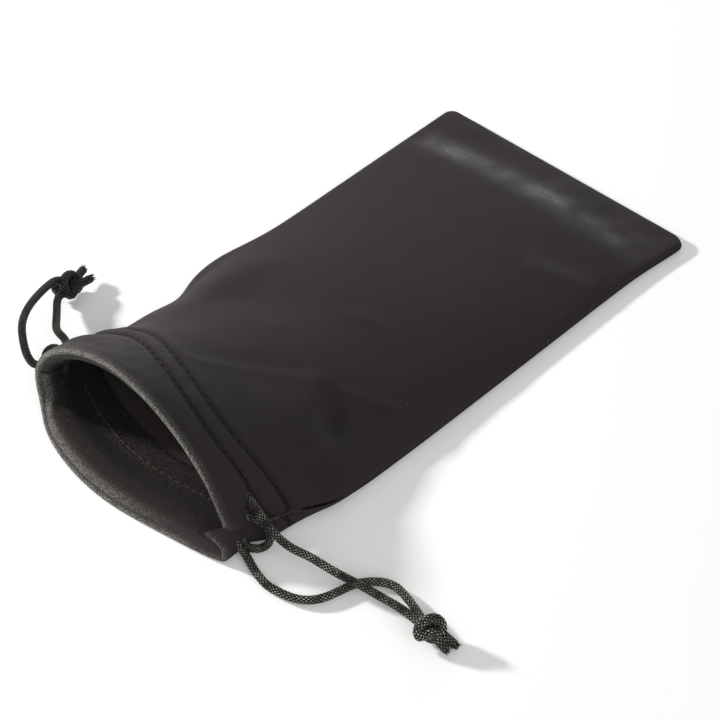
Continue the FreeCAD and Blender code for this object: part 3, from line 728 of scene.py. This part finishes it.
def braided_cord(name, path, step=0.2, around=48, thickness=CORD):
    """A round braid along a path: the radius rises over each strand's crown, where two families of helical
    waves meet, and the ends are closed with a small dome. Also the path's even points."""
    path, length = even_path(path, step)
    side, up = side_vectors(path)
    turn = np.linspace(0, 1, around, endpoint=False)
    along_cord = np.linspace(0, length / BRAID_REPEAT, len(path))
    one, other = (np.sin(math.pi * (BRAID_STRANDS * turn[None, :] + way * along_cord[:, None]))
                  for way in (1, -1))
    radius = thickness / 2 - BRAID_RELIEF + 1.6 * BRAID_RELIEF * np.abs(one * other) ** BRAID_POWER
    walked = np.linspace(0, length, len(path))
    into_dome = 1 - np.clip(np.minimum(walked, length - walked) / CORD_DOME, 0, 1)
    radius = radius * np.sqrt(np.clip(1 - into_dome ** 2, 0.02, 1))[:, None]
    angle = 2 * math.pi * turn[:, None]
    ring_way = np.cos(angle) * side[:, None, :] + np.sin(angle) * up[:, None, :]
    points = (path[:, None, :] + radius[..., None] * ring_way).reshape(-1, 3)
    count = len(points)
    first = np.arange(around)
    last = count - around + first
    caps = [np.stack([np.roll(first, -1), first, 0 * first + count], axis=-1),
            np.stack([last, np.roll(last, -1), 0 * last + count + 1], axis=-1)]
    walls = grid_faces(len(path), around, wrap=True)
    uv = np.stack(np.broadcast_arrays(turn[None, :], along_cord[:, None]), axis=-1).reshape(-1, 2)
    uv = np.concatenate([uv, [[0, 0], [0, along_cord[-1]]]])
    faces = walls.tolist() + np.concatenate(caps).tolist()
    return mesh_piece(name, np.concatenate([points, path[[0, -1]]]), faces, uv, tube_quads=len(walls)), path


# Each drawstring's free legs: the hem that one leaves, its length in metres, and the control points of its
# way from inside the hem to the knot.
LEGS = {
    "left": {
        "outer": ("front", 0.060, [
            (-40.4, -72.8, 12.2), (-42.1, -73.8, 11.2), (-44.1, -75.2, 10.3), (-46.2, -76.0, 10.2),
            (-49.2, -75.3, 11.2), (-52.8, -73.2, 12.4), (-57.2, -69.8, 12.8), (-60.8, -65.6, 12.1),
            (-64.0, -60.6, 10.8), (-66.9, -54.8, 9.1), (-68.8, -49.8, 7.8), (-69.7, -46.2, 6.8),
            (-69.0, -44.0, 5.2),
        ]),
        "inner": ("back", 0.047, [
            (-40.5, -69.0, 8.6), (-42.6, -66.8, 9.2), (-45.0, -64.5, 9.3), (-47.6, -62.8, 9.2),
            (-50.8, -62.2, 9.0), (-53.2, -61.2, 8.4), (-56.0, -58.8, 7.4), (-60.4, -54.7, 6.0),
            (-64.5, -51.1, 4.8), (-66.8, -48.2, 4.0), (-66.4, -45.8, 3.6),
        ]),
    },
    "right": {
        "upper": ("front", 0.066, [
            (30.6, -71.4, 10.4), (32.5, -71.8, 10.2), (35.8, -72.6, 9.2), (39.8, -73.5, 7.7),
            (44.0, -73.7, 6.3), (48.5, -73.5, 5.5), (54.0, -72.1, 5.3), (59.5, -71.8, 5.2),
            (64.5, -71.0, 4.9), (69.0, -69.4, 3.8), (73.0, -68.1, 2.4), (77.6, -67.4, 2.2),
            (82.0, -67.5, 2.7), (85.6, -68.0, 3.1), (88.5, -68.6, 3.3),
        ]),
        "lower": ("back", 0.070, [
            (37.6, -80.0, 1.8), (40.0, -80.8, 1.4), (43.4, -82.2, 1.2), (46.4, -83.2, 1.2),
            (50.0, -84.0, 1.2), (54.3, -83.4, 1.2), (58.4, -82.3, 1.2), (61.6, -79.9, 1.2),
            (63.6, -76.4, 1.2), (64.6, -72.4, 1.2), (65.7, -68.4, 1.2), (68.0, -65.2, 1.2),
            (70.8, -63.0, 1.3), (74.2, -62.2, 1.5), (77.6, -63.1, 2.0), (81.4, -64.5, 2.6),
            (85.0, -66.0, 3.1), (88.2, -67.4, 3.3),
        ]),
    },
}

# Control points of each drawstring's turn from the front hem into the back one.
LOOP_ROUTES = {
    "left": [
        (33.3, -74.2, 7.2), (36.2, -72.7, 6.2), (38.6, -72.2, 5.2), (40.5, -72.8, 4.0), (41.1, -74.3, 2.3),
        (40.2, -76.2, 1.4), (38.6, -77.7, 1.4), (36.6, -79.0, 2.2),
    ],
    "right": [
        (-41.6, -69.0, 12.2), (-43.8, -68.6, 12.4), (-45.6, -69.7, 12.1), (-45.8, -71.6, 11.0),
        (-44.0, -73.3, 10.1), (-41.8, -74.2, 9.4),
    ],
}
# Where each cord lies in each tunnel: its distance from the rim at the left end and at the right.
LANES = {
    ("front", "left"): (6.6, 7.0),
    ("front", "right"): (9.6, 11.6),
    ("back", "left"): (9.4, 8.9),
    ("back", "right"): (5.2, 4.4),
}
# The shares of a tunnel's length where its cords are held.
RUN_SHARES = np.array([0.024, 0.065, 0.12, 0.19, 0.27, 0.36, 0.45, 0.55, 0.64, 0.73, 0.81, 0.88, 0.935,
                       0.976])
HELD = 2   # the free legs reach this many of those places into their tunnels
# Each knot: its centre, its heading in degrees, and its size along, across and up.
KNOTS = {
    "left": ((-68.1, -43.6, 3.2), 75, (1.25, 1.15, 1.2)),
    "right": ((90.5, -68.1, 3.3), 4, (0.92, 1.15, 1.5)),
}
STRAND_OFFSET, KNOT_CORD, KNOT_FLOOR = 0.95, 2.4, 1.0
FILAMENTS, FILAMENT_POINTS, FILAMENT_RADIUS = 46, 7, 0.085
TAILS = {
    "left": [
        [(-68.0, -42.8, 3.4), (-68.8, -40.2, 3.6), (-69.7, -37.6, 3.6), (-70.3, -35.6, 3.6)],
        [(-67.2, -42.6, 2.8), (-66.9, -39.9, 2.8), (-66.7, -37.8, 2.8), (-66.5, -36.1, 2.7)],
    ],
    "right": [
        [(91.0, -67.6, 3.1), (93.4, -66.8, 3.0), (95.7, -66.7, 2.4), (98.1, -66.5, 1.5)],
        [(91.0, -68.8, 3.1), (93.4, -69.0, 3.3), (95.6, -69.2, 2.6), (97.5, -69.2, 1.6)],
    ],
}


def lane(panel, owner):
    """A cord's way in its tunnel, left to right: the cubic spline of points half a hem under the panel's net,
    at the shares of its length where the cord is held."""
    left, right = LANES[panel, owner]
    columns = np.arange(len(ACROSS))
    distances = left + (right - left) * (ACROSS + 1) / 2
    here, ahead, behind = (net(panel, np.maximum(distances + shift, 0)) for shift in (0, 0.5, -0.5))
    before, after = np.maximum(columns - 1, 0), np.minimum(columns + 1, len(ACROSS) - 1)
    normal = np.cross(here[columns, after] - here[columns, before],
                      ahead[columns, columns] - behind[columns, columns])
    normal = unit(normal if panel == "front" else -normal)
    poles = here[columns, columns] - normal * HEM / 2
    curve = spline_weights(np.linspace(0, SPANS, FINE)) @ poles
    walked = walk(curve)
    return read(curve, walked, RUN_SHARES * walked[-1])


def make_cords(pieces):
    """Both drawstrings: the stretch held in the hems with its loop, and two free legs."""
    for owner in ("left", "right"):
        lanes = {panel: lane(panel, owner)[::-1 if owner == "right" else 1] for panel in ("front", "back")}
        route = [lanes["front"][HELD:], LOOP_ROUTES[owner], lanes["back"][HELD:][::-1]]
        held = smooth_route(f"{owner}_held_route", np.concatenate(route))
        piece, _ = braided_cord(f"{owner}_cord_held", held, step=0.25, around=40)
        keep(pieces, piece, "pouch", "cord", f"{owner}_cord_in_front_hem", f"{owner}_cord_in_back_hem",
             f"{owner}_cord_loop")
        for which, (panel, length, route) in LEGS[owner].items():
            inside = lanes[panel][:HELD + 1][::-1]
            path = smooth_route(f"{which}_leg_route", np.concatenate([inside, route]))
            piece, walked = braided_cord(f"{owner}_cord_{which}", path, step=0.13, around=64)
            keep(pieces, piece, None, "cord", f"{owner}_cord_{which}_leg")
            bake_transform(piece)


# ---- Stitches ----

STITCH_RISE, STITCH_DIVE, STITCH_UNEVEN = 0.16, 0.42, 0.08


def thread_runs(name, centres, side, up, radius, around=8):
    """Round threads: for each of n runs, a ring of points about each of its m centres, of that run's radius
    there, and a flat cap at each end. The arrays are n x m x 3, and the radius is n x m or a number."""
    runs, stations = centres.shape[:2]
    radius = np.broadcast_to(radius, (runs, stations))
    angle = 2 * math.pi * np.arange(around)[:, None] / around
    ring = np.cos(angle) * side[:, :, None, :] + np.sin(angle) * up[:, :, None, :]
    points = (centres[:, :, None, :] + radius[..., None, None] * ring).reshape(-1, 3)
    first = (np.arange(runs) * stations * around)[:, None, None]
    walls = (grid_faces(stations, around, wrap=True)[None] + first).reshape(-1, 4)
    caps = np.stack([np.arange(around)[::-1], (stations - 1) * around + np.arange(around)])
    caps = (caps[None] + first).reshape(-1, around)
    return mesh_piece(name, points, walls.tolist() + caps.tolist())


def crossing_vectors(centres, up):
    """For runs of points with rough up vectors: unit side and up vectors square to each run."""
    tangent = unit(np.gradient(centres, axis=1))
    side = unit(np.cross(tangent, up))
    return side, np.cross(side, tangent)


def stitch_row(name, line, normal, seed, pitch=STITCH_PITCH, length=STITCH, radius=THREAD_RADIUS,
               rise=STITCH_RISE):
    """Lockstitches along a line on the cloth: each stands up by the rise in a flat arch, 1 - v^4 from end to
    end, and dives into the cloth at its ends."""
    random = np.random.default_rng(seed)
    walked = walk(line)
    count = int((walked[-1] - length) / pitch)
    margin = (walked[-1] - (count - 1) * pitch - length) / 2
    start = margin + pitch * np.arange(count) + random.uniform(-STITCH_UNEVEN, STITCH_UNEVEN, count)
    v = np.linspace(-1, 1, 11)
    place = start[:, None] + length * (v[None, :] + 1) / 2
    centres, up = read(line, walked, place), read(normal, walked, place)
    arch = rise * (1 - np.abs(v) ** 4) - STITCH_DIVE * np.abs(v) ** 6
    centres = centres + up * arch[None, :, None]
    side, up = crossing_vectors(centres, up)
    thickness = radius * (1 - 0.25 * np.abs(v) ** 3)[None, :] * np.ones((count, 1))
    return thread_runs(name, centres, side, up, thickness)


ROW_POINTS, ROW_MARGIN, BACK_ROW_SHIFT = 400, 4.6, 1.5
INNER_PITCH, INNER_STITCH = 2.7, 2.55


def hem_row(panel, distance, depth):
    """Points and outward normals along a hem at a distance from the rim, under the outer face by a depth.
    They stop short of both ends by the margin."""
    weights = edged_weights(ROW_POINTS)
    points, normal = outer_face(panel, np.array([distance]), weights)
    points, normal = points[0], normal[0]
    if panel == "front":
        columns = np.arange(len(points))
        points, normal = outer_face(panel, distance + row_drift(points[:, 0]), weights)
        points, normal = points[columns, columns], normal[columns, columns]
    points = points - normal * depth
    walked = walk(points)
    kept = (walked > ROW_MARGIN) & (walked < walked[-1] - ROW_MARGIN)
    return points[kept], normal[kept]


def make_hem_stitches(pieces):
    """Two rows on each hem: the front's are seen on its outer face, the back's on its turned-in layer."""
    for panel in ("front", "back"):
        for row, distance in (("tunnel", ROW_TUNNEL), ("edge", ROW_EDGE)):
            if panel == "front":
                line, normal = hem_row(panel, distance, 0.0)
            else:
                line, normal = hem_row(panel, distance + BACK_ROW_SHIFT, SEWN_DEPTH)
                normal = -normal
            inner = panel == "back" and row == "tunnel"
            pitch, length = (INNER_PITCH, INNER_STITCH) if inner else (STITCH_PITCH, STITCH)
            piece = stitch_row(f"{panel}_{row}_row", line, normal, len(pieces), pitch, length)
            keep(pieces, piece, "pouch", "thread", f"{panel}_{row}_stitches",
                 finish="inner_thread" if inner else None)


# ---- Inside trimmings ----

SEAM_ALLOWANCE, ALLOWANCE_INSET, ALLOWANCE_CLEARANCE = 5.0, 2.0, 0.12
ALLOWANCE_START = 4.5
ALLOWANCE_EDGE_POINTS = 9
OVERLOCK_PITCH, OVERLOCK_RADIUS = 1.5, 0.12
OVERLOCK_MIDDLE, OVERLOCK_REACH, OVERLOCK_HEIGHT = 0.30, 0.34, 0.38
OVERLOCK_TURN_POINTS = 12
SEAM_POINTS = 200
SEAM_THREAD_RADIUS = 0.15
BARTACK_SWING, BARTACK_TURNS, BARTACK_LENGTH, BARTACK_RADIUS = 0.55, 14, 3.0, 0.13


def beside_seam(seam, stations, insets, heights):
    """Points inside the pouch: at places along a seam, at distances in from it, above the back panel's face.
    The arrays are n for the stations and m for the insets and heights."""
    if seam == "end":
        x, inset, z = np.broadcast_arrays(stations[:, None], insets[None, :], heights[None, :])
        return np.stack([x, BACK_END - inset, z], axis=-1)
    side = -1 if seam == "left" else 1
    face, normal = outer_face("back", stations, spline_weights(np.linspace(0, SPANS, FINE)))
    edge = np.abs(face[:, 0 if side < 0 else -1, 0])
    rows = []
    for one_face, one_normal, one_edge in zip(face, normal, edge):
        half = one_face[:, 0] * side > 0
        order = np.argsort(one_face[half, 0] * side)
        across = (one_face[half, 0] * side)[order]
        at = [np.interp(one_edge - insets, across, (field[half][order])[:, k])
              for field in (one_face, one_normal) for k in range(3)]
        rows.append(np.stack(at[:3], axis=-1) - np.stack(at[3:], axis=-1) * heights[:, None])
    return np.array(rows)


def seam_stations(seam, count):
    """Even places along a seam, short of its ends: X on the closed end, distances from the rim on a side."""
    if seam == "end":
        return np.linspace(-HALF_WIDTH + CORNER_RIGHT, HALF_WIDTH - CORNER_RIGHT, count)
    first = RAW_EDGE + ALLOWANCE_START
    return np.linspace(first, LENGTH - ALLOWANCE_INSET - 2 * SEAM_ALLOWANCE, count)


def allowance(seam):
    """A seam's two plies of cloth, as one band: its outline is a thin loop of points from the seam to the raw
    edge and back, a little uneven, with a notch between the plies at the seam."""
    half = ALLOWANCE_EDGE_POINTS
    outline_v = np.concatenate([np.linspace(0, 1, half), np.linspace(1, 0, half)])
    outline_w = np.concatenate([np.zeros(half), np.ones(half)])
    insets = ALLOWANCE_INSET + SEAM_ALLOWANCE * outline_v
    wave = 0.025 * np.sin(np.arange(2 * half) * 0.9)
    notch = np.where(outline_w > 0.5, -0.10, 0.10) * bump(outline_v, 0.12)
    bottom = CLOTH + ALLOWANCE_CLEARANCE
    heights = bottom + 2 * CLOTH * (0.04 + 0.92 * outline_w) + wave * outline_v + notch
    points = beside_seam(seam, seam_stations(seam, 90), insets, heights)
    rows, columns = points.shape[:2]
    points = points.reshape(-1, 3)
    near, far = np.arange(half - 1), 2 * half - 1 - np.arange(half - 1)
    cap = np.stack([near, near + 1, far - 1, far], axis=-1)
    faces = np.concatenate([grid_faces(rows, columns, wrap=True), cap, (cap + (rows - 1) * columns)[:, ::-1]])
    return mesh_piece(f"{seam}_allowance", points, outward(points, faces).tolist(), points[:, :2] / 10)


def overlock(seam):
    """A thread looped round a seam's raw edge: an ellipse carried along the edge, one turn to each pitch."""
    run = seam_stations(seam, SEAM_POINTS)
    middle = np.array([2 * CLOTH + ALLOWANCE_CLEARANCE])
    raw_edge = np.array([ALLOWANCE_INSET + SEAM_ALLOWANCE])
    line, inward = (beside_seam(seam, run, raw_edge - shift, middle)[:, 0] for shift in (0, 1))
    walked = walk(line)
    turns = int(walked[-1] / OVERLOCK_PITCH)
    t = np.linspace(0, 1, turns * OVERLOCK_TURN_POINTS)
    at, back = read(line, walked, t * walked[-1]), read(inward, walked, t * walked[-1])
    across = unit(back - at)
    rise = np.cross(unit(np.gradient(at, axis=0)), across)
    phase = 2 * math.pi * turns * t
    loops = (at - across * (OVERLOCK_MIDDLE + OVERLOCK_REACH * np.cos(phase))[:, None]
             + rise * (OVERLOCK_HEIGHT * np.sin(phase))[:, None])
    side, up = side_vectors(loops)
    return thread_runs(f"{seam}_overlock", loops[None], side[None], up[None], OVERLOCK_RADIUS, around=5)


def seam_row(seam, seed):
    """The stitches that join the panels along a seam."""
    run = seam_stations(seam, SEAM_POINTS)
    if seam == "end":
        line = np.stack([run, 0 * run + BACK_END - ALLOWANCE_INSET + 0.4, 0 * run + EDGE_MIDDLE], axis=-1)
    else:
        sign = -1 if seam == "left" else 1
        line = seam_line(sign, run)
        line[:, 0] -= sign * (ALLOWANCE_INSET - 0.4)
    normal = np.tile([0.0, 0.0, 1.0], (len(line), 1))
    return stitch_row(f"{seam}_seam_row", line, normal, seed, radius=SEAM_THREAD_RADIUS, rise=0.0)


def make_trimmings(pieces):
    """For each seam: the allowance of two plies, the overlock thread looped round its raw edge, and the
    stitches that join the panels."""
    for seam in ("left", "right", "end"):
        keep(pieces, allowance(seam), "pouch", "cloth_edge", f"{seam}_seam_allowance")
        keep(pieces, overlock(seam), "pouch", "thread", f"{seam}_overlock_thread")
        keep(pieces, seam_row(seam, len(pieces)), "pouch", "thread", f"{seam}_seam_stitches")


def make_bartacks(pieces):
    """At each slit's base, a dense zigzag across the seam, bulging in its middle."""
    for name, side in (("left", -1), ("right", 1)):
        t = np.linspace(0, 1, 300)
        line = seam_line(side, ROW_TUNNEL + SLIT_SLOPE / 2 + BARTACK_LENGTH * t)
        swing = BARTACK_SWING * np.arcsin(np.sin(2 * math.pi * BARTACK_TURNS * t)) / (math.pi / 2)
        bulge = 0.30 + 0.25 * (1 - (swing / BARTACK_SWING) ** 2)
        line = line + np.stack([side * bulge, 0 * t, swing], axis=-1)
        across, up = side_vectors(line)
        tack = thread_runs(f"{name}_tack", line[None], across[None], up[None], BARTACK_RADIUS, around=6)
        keep(pieces, tack, "pouch", "thread", f"{name}_bartack")


# ---- Knots and tails ----

# Control points of a pair's middle along an overhand knot, from the knot's centre. The legs come from -X and
# the tails leave to +X.
KNOT_ROUTE = [(-3.8, 0.2, 0.0), (-2.0, 0.1, 0.1), (0.3, -0.5, -0.8), (1.9, 0.1, -1.0), (2.4, 1.4, 0.0),
              (1.3, 2.0, 1.2), (-0.3, 1.2, 1.8), (-1.5, -0.5, 1.4), (-1.8, -2.0, 0.4), (-0.8, -2.3, -0.6),
              (0.7, -1.4, 0.4), (2.0, -0.5, 0.7), (3.6, 0.0, 0.0)]


def make_knots(pieces):
    """Each knot is a pair of cords side by side along one overhand knot, pulled thinner than the free cord.
    Its tails are two short cords with frayed ends."""
    for owner, (centre, heading, size) in KNOTS.items():
        path, _ = even_path(smooth_route(f"{owner}_knot_route", np.array(KNOT_ROUTE) * size), 0.1)
        side, _ = side_vectors(path)
        c, s = math.cos(math.radians(heading)), math.sin(math.radians(heading))
        rotation = np.array([[c, -s, 0], [s, c, 0], [0, 0, 1]])
        strands = []
        for sign in (-1, 1):
            line = (path + sign * STRAND_OFFSET * side) @ rotation.T + centre
            line[:, 2] = np.maximum(line[:, 2], KNOT_FLOOR)
            strand, _ = braided_cord(f"{owner}_knot_strand", line, step=0.14, around=56, thickness=KNOT_CORD)
            strands.append(strand)
        drawstring = f"{owner}_drawstring"
        keep(pieces, join(f"{owner}_knot", strands), drawstring, "cord", f"{owner}_cord_knot")
        ends = []
        for route in TAILS[owner]:
            path = smooth_route(f"{owner}_tail_route", route)
            tail, walked = braided_cord(f"{owner}_tail", path, step=0.13, around=56, thickness=KNOT_CORD)
            ends += [tail, frayed_end(f"{owner}_fray", walked, seed=len(ends) + len(pieces))]
        keep(pieces, join(f"{owner}_tails", ends), drawstring, "cord", f"{owner}_cord_tails")


def frayed_end(name, path, seed):
    """Loose filaments at a cut end: each starts inside the cord and leaves it in its own direction, curling
    by the square of the way along it."""
    random = np.random.default_rng(seed)
    count, stations = FILAMENTS, FILAMENT_POINTS
    end = path[-1]
    out = unit(path[-1] - path[-6])
    side, up = (vectors[-1] for vectors in side_vectors(path))
    angle = random.uniform(0, 2 * math.pi, count)
    spread = np.sqrt(random.uniform(0, 1, count))
    outward_way = np.cos(angle)[:, None] * side + np.sin(angle)[:, None] * up
    start = end - out * 0.6 + outward_way * (0.8 * spread)[:, None]
    reach = random.uniform(0.7, 1.5, count)
    lean = spread * random.uniform(0.1, 0.75, count)
    curl = random.normal(0, 0.35, (count, 3))
    t = np.linspace(0, 1, stations)
    centres = (start[:, None] + out * (reach[:, None] * t)[..., None]
               + outward_way[:, None] * (lean[:, None] * t ** 1.5)[..., None]
               + curl[:, None] * (t ** 2)[None, :, None] * 0.6)
    centres[..., 2] = np.maximum(centres[..., 2], 0.12)
    side_way, up_way = crossing_vectors(centres, np.tile(up + 0.01, (count, stations, 1)))
    thickness = FILAMENT_RADIUS * (1 - 0.55 * t)[None, :] * random.uniform(0.7, 1.3, (count, 1))
    return thread_runs(name, centres, side_way, up_way, thickness, around=5)


def join(name, objects):
    """One object from several, their meshes put together."""
    context = bpy.context
    for other in context.selected_objects:
        other.select_set(False)
    for piece in objects:
        piece.select_set(True)
    context.view_layer.objects.active = objects[0]
    bpy.ops.object.join()
    joined = context.view_layer.objects.active
    joined.name = joined.data.name = name
    return joined


# ---- The scene ----

GROUND_REACH = 3.0


def area_light(name, place, target, size, energy, colour=(1, 1, 1)):
    """A rectangular lamp at a place, turned to a target, all in metres and watts."""
    data = bpy.data.lights.new(name, "AREA")
    data.shape = "RECTANGLE"
    data.size, data.size_y = size
    data.energy = energy
    data.color = colour
    light = bpy.data.objects.new(name, data)
    light.location = place
    light.rotation_euler = direction_turn(np.array(target) - np.array(place))
    bpy.context.scene.collection.objects.link(light)
    return light


def direction_turn(aim):
    """The turn that points an object's -Z along a direction, with its Y kept upwards."""
    return Vector(aim).to_track_quat("-Z", "Y").to_euler()


def make_stage():
    """The flat ground that the pouch lies on."""
    corners = np.array([(-1, -1, 0), (1, -1, 0), (1, 1, 0), (-1, 1, 0)]) * GROUND_REACH / MM
    ground = mesh_piece("ground", corners, [(0, 1, 2, 3)])
    ground.data.materials.append(floor_material())


def make_camera():
    """Looks down at the pouch from beyond its mouth and its right side, with a long lens."""
    target = np.array([0.00998, -0.00691, 0.0])
    azimuth, elevation, distance = math.radians(43.057), math.radians(43.573), 0.7155
    offset = np.array([math.sin(azimuth) * math.cos(elevation), -math.cos(azimuth) * math.cos(elevation),
                       math.sin(elevation)]) * distance
    data = bpy.data.cameras.new("camera")
    data.sensor_width = 36
    data.lens = 130
    data.clip_start = 0.01
    camera = bpy.data.objects.new("camera", data)
    camera.location = target + offset
    camera.rotation_euler = direction_turn(-offset)
    bpy.context.scene.collection.objects.link(camera)
    bpy.context.scene.camera = camera


def make_lights():
    """A small window low on the left, a broad fill from the right, a softbox beyond and an even sky."""
    window = area_light("left_window", (-0.85, -0.30, 0.36), (0.0, -0.03, 0.0), (0.105, 0.065), 13.8,
                        (1.0, 0.995, 0.985))
    window.visible_glossy = False
    fill = area_light("right_fill", (1.0, -0.42, 0.62), (0.0, 0.0, 0.0), (1.2, 0.8), 7.2)
    fill.visible_glossy = False
    area_light("far_softbox", (-0.46, 0.757, 0.283), (0.0, 0.03, 0.0), (0.5, 0.12), 1.1)
    world = bpy.data.worlds.new("world")
    bpy.context.scene.world = world
    world.use_nodes = True
    connect(world.node_tree.nodes["Background"], {"Color": (1, 1, 1), "Strength": 0.34})


make_camera()
make_stage()
make_lights()

finishes = {"cloth": cloth_material(), "cord": cord_material(),
            "thread": thread_material("thread", (0.009, 0.008, 0.008), (0.026, 0.023, 0.022)),
            "inner_thread": thread_material("inner_thread", (0.035, 0.030, 0.028), (0.072, 0.064, 0.060))}
finishes["cloth_edge"] = finishes["cloth"]

pieces = {}
make_knots(pieces)
make_cords(pieces)
for panel in ("front", "back"):
    keep(pieces, cloth_panel(panel), "pouch", "cloth", f"{panel}_panel")
make_hem_stitches(pieces)
make_trimmings(pieces)
make_bartacks(pieces)

bpy.context.scene.view_settings.view_transform = "Standard"
